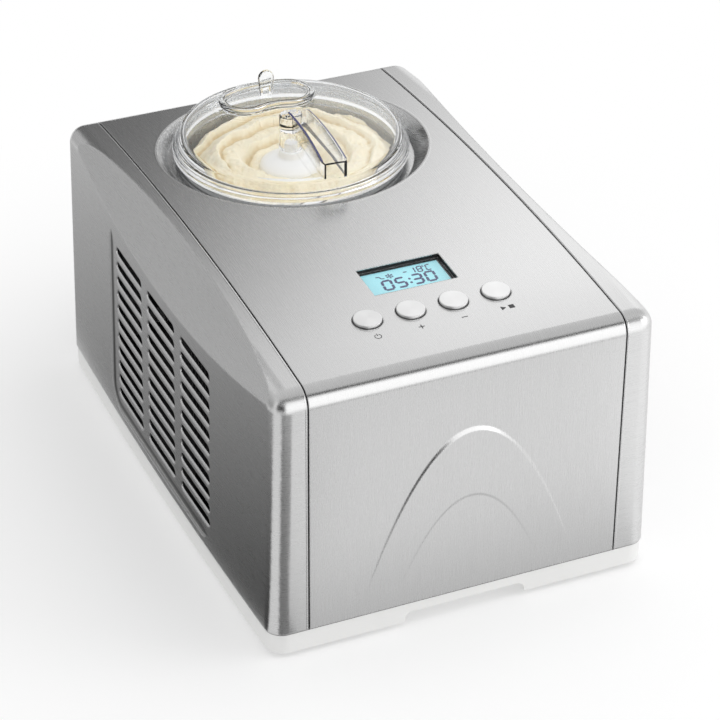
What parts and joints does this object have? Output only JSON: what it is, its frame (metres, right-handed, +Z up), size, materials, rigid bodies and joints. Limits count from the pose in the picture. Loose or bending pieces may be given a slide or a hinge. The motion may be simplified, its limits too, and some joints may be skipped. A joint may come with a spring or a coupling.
{
  "type": "ice cream maker",
  "caption": "Countertop ice cream maker with its own cooling: brushed steel casing, lift-out bowl under a clear lid, stirring paddle and display.",
  "frame": {"origin": "on the floor under the middle of the body", "axes": "+Z up, the front with the arches faces -Y, +X to the right seen from the front"},
  "size_m": [0.2966, 0.4234, 0.2559],
  "materials": {
    "steel_panel": "brushed along the body",
    "rear_steel": "satin grey",
    "white_base": "satin white",
    "dark_rubber": "matt",
    "white_rubber": "matt",
    "clear_plastic": "clear",
    "white_paddle": "satin white",
    "bowl_aluminium": "satin",
    "foam": "black closed-cell foam",
    "galvanised": "zinc grey",
    "shaft_steel": "ground",
    "gear_nylon": "natural nylon",
    "motor_metal": "satin",
    "black_paint": "semi-gloss",
    "fin_aluminium": "black coated",
    "copper": "bare copper",
    "black_plastic": "moulded",
    "display_glass": "clear",
    "display_panel": "backlit",
    "button_metal": "spun",
    "board_green": "solder mask",
    "bronze": "oiled"
  },
  "bodies": {
    "housing": {"left_side_panel": "steel_panel", "right_side_panel": "steel_panel", "top_front_panel": "steel_panel", "rear_panel": "rear_steel", "base_tray": "white_base", "cord_gland": "dark_rubber", "shaft_seal": "dark_rubber", "compressor_mounts": "dark_rubber", "rubber_feet": "white_rubber", "bowl_well": "bowl_aluminium", "evaporator_jacket": "bowl_aluminium", "insulation_foam": "foam", "support_frame": "galvanised", "compressor_plate": "galvanised", "fan_shroud": "galvanised", "fan_bracket": "galvanised", "idler_pin": "shaft_steel", "rear_screws": "shaft_steel", "gearbox_housing": "gear_nylon", "gearbox_cover": "gear_nylon", "drive_motor": "motor_metal", "fan_motor": "motor_metal", "compressor": "black_paint", "condenser": "fin_aluminium", "suction_pipe": "copper", "discharge_pipe": "copper", "condenser_outlet_pipe": "copper", "liquid_pipe": "copper", "filter_drier": "copper", "control_carrier": "black_plastic", "display_frame": "black_plastic", "seam_strips": "black_plastic", "display_window": "display_glass", "display_module": "display_panel", "control_board": "board_green", "tact_switches": "board_green", "power_board": "board_green", "shaft_bushes": "bronze"},
    "bowl": {"mixing_bowl": "bowl_aluminium"},
    "paddle": {"paddle": "white_paddle"},
    "lid": {"lid": "clear_plastic"},
    "cap": {"filler_cap": "clear_plastic"},
    "output": {"drive_shaft": "shaft_steel", "output_gear": "gear_nylon"},
    "idler": {"intermediate_gear": "gear_nylon"},
    "rotor": {"motor_rotor": "motor_metal"},
    "fan": {"fan_rotor": "black_plastic"},
    "button_power": {"button_power": "button_metal"},
    "button_plus": {"button_plus": "button_metal"},
    "button_minus": {"button_minus": "button_metal"},
    "button_start": {"button_start": "button_metal"}
  },
  "joints": [
    {"name": "bowl_lift", "type": "slide", "parent": "housing", "child": "bowl", "axis": [0, 0, 1], "range_m": [0, 0.14]},
    {"name": "lid_lift", "type": "slide", "parent": "bowl", "child": "lid", "axis": [0, 0, 1], "range_m": [0, 0.1]},
    {"name": "cap_lift", "type": "slide", "parent": "lid", "child": "cap", "axis": [0, 0, 1], "range_m": [0, 0.04]},
    {"name": "paddle_turn", "type": "hinge", "parent": "bowl", "child": "paddle", "pos_m": [0, 0.102, 0.12], "axis": [0, 0, 1], "continuous": true},
    {"name": "output_turn", "type": "hinge", "parent": "housing", "child": "output", "pos_m": [0, 0.102, 0.07], "axis": [0, 0, 1], "continuous": true},
    {"name": "idler_turn", "type": "hinge", "parent": "housing", "child": "idler", "pos_m": [0, 0.0645, 0.07], "axis": [0, 0, 1], "continuous": true},
    {"name": "rotor_turn", "type": "hinge", "parent": "housing", "child": "rotor", "pos_m": [0, 0.032, 0.05], "axis": [0, 0, 1], "continuous": true},
    {"name": "fan_turn", "type": "hinge", "parent": "housing", "child": "fan", "pos_m": [-0.098, -0.082, 0.08525], "axis": [1, 0, 0], "continuous": true},
    {"name": "press_power", "type": "slide", "parent": "housing", "child": "button_power", "axis": [0, 0.0573, -0.9984], "range_m": [0, 0.0015], "stiffness_N_per_m": 600},
    {"name": "press_plus", "type": "slide", "parent": "housing", "child": "button_plus", "axis": [0, 0.0573, -0.9984], "range_m": [0, 0.0015], "stiffness_N_per_m": 600},
    {"name": "press_minus", "type": "slide", "parent": "housing", "child": "button_minus", "axis": [0, 0.0573, -0.9984], "range_m": [0, 0.0015], "stiffness_N_per_m": 600},
    {"name": "press_start", "type": "slide", "parent": "housing", "child": "button_start", "axis": [0, 0.0573, -0.9984], "range_m": [0, 0.0015], "stiffness_N_per_m": 600}
  ],
  "couplings": [
    {"joint": "output_turn", "follows": "paddle_turn", "ratio": 1},
    {"joint": "idler_turn", "follows": "paddle_turn", "ratio": -4},
    {"joint": "rotor_turn", "follows": "paddle_turn", "ratio": 13.333}
  ]
}
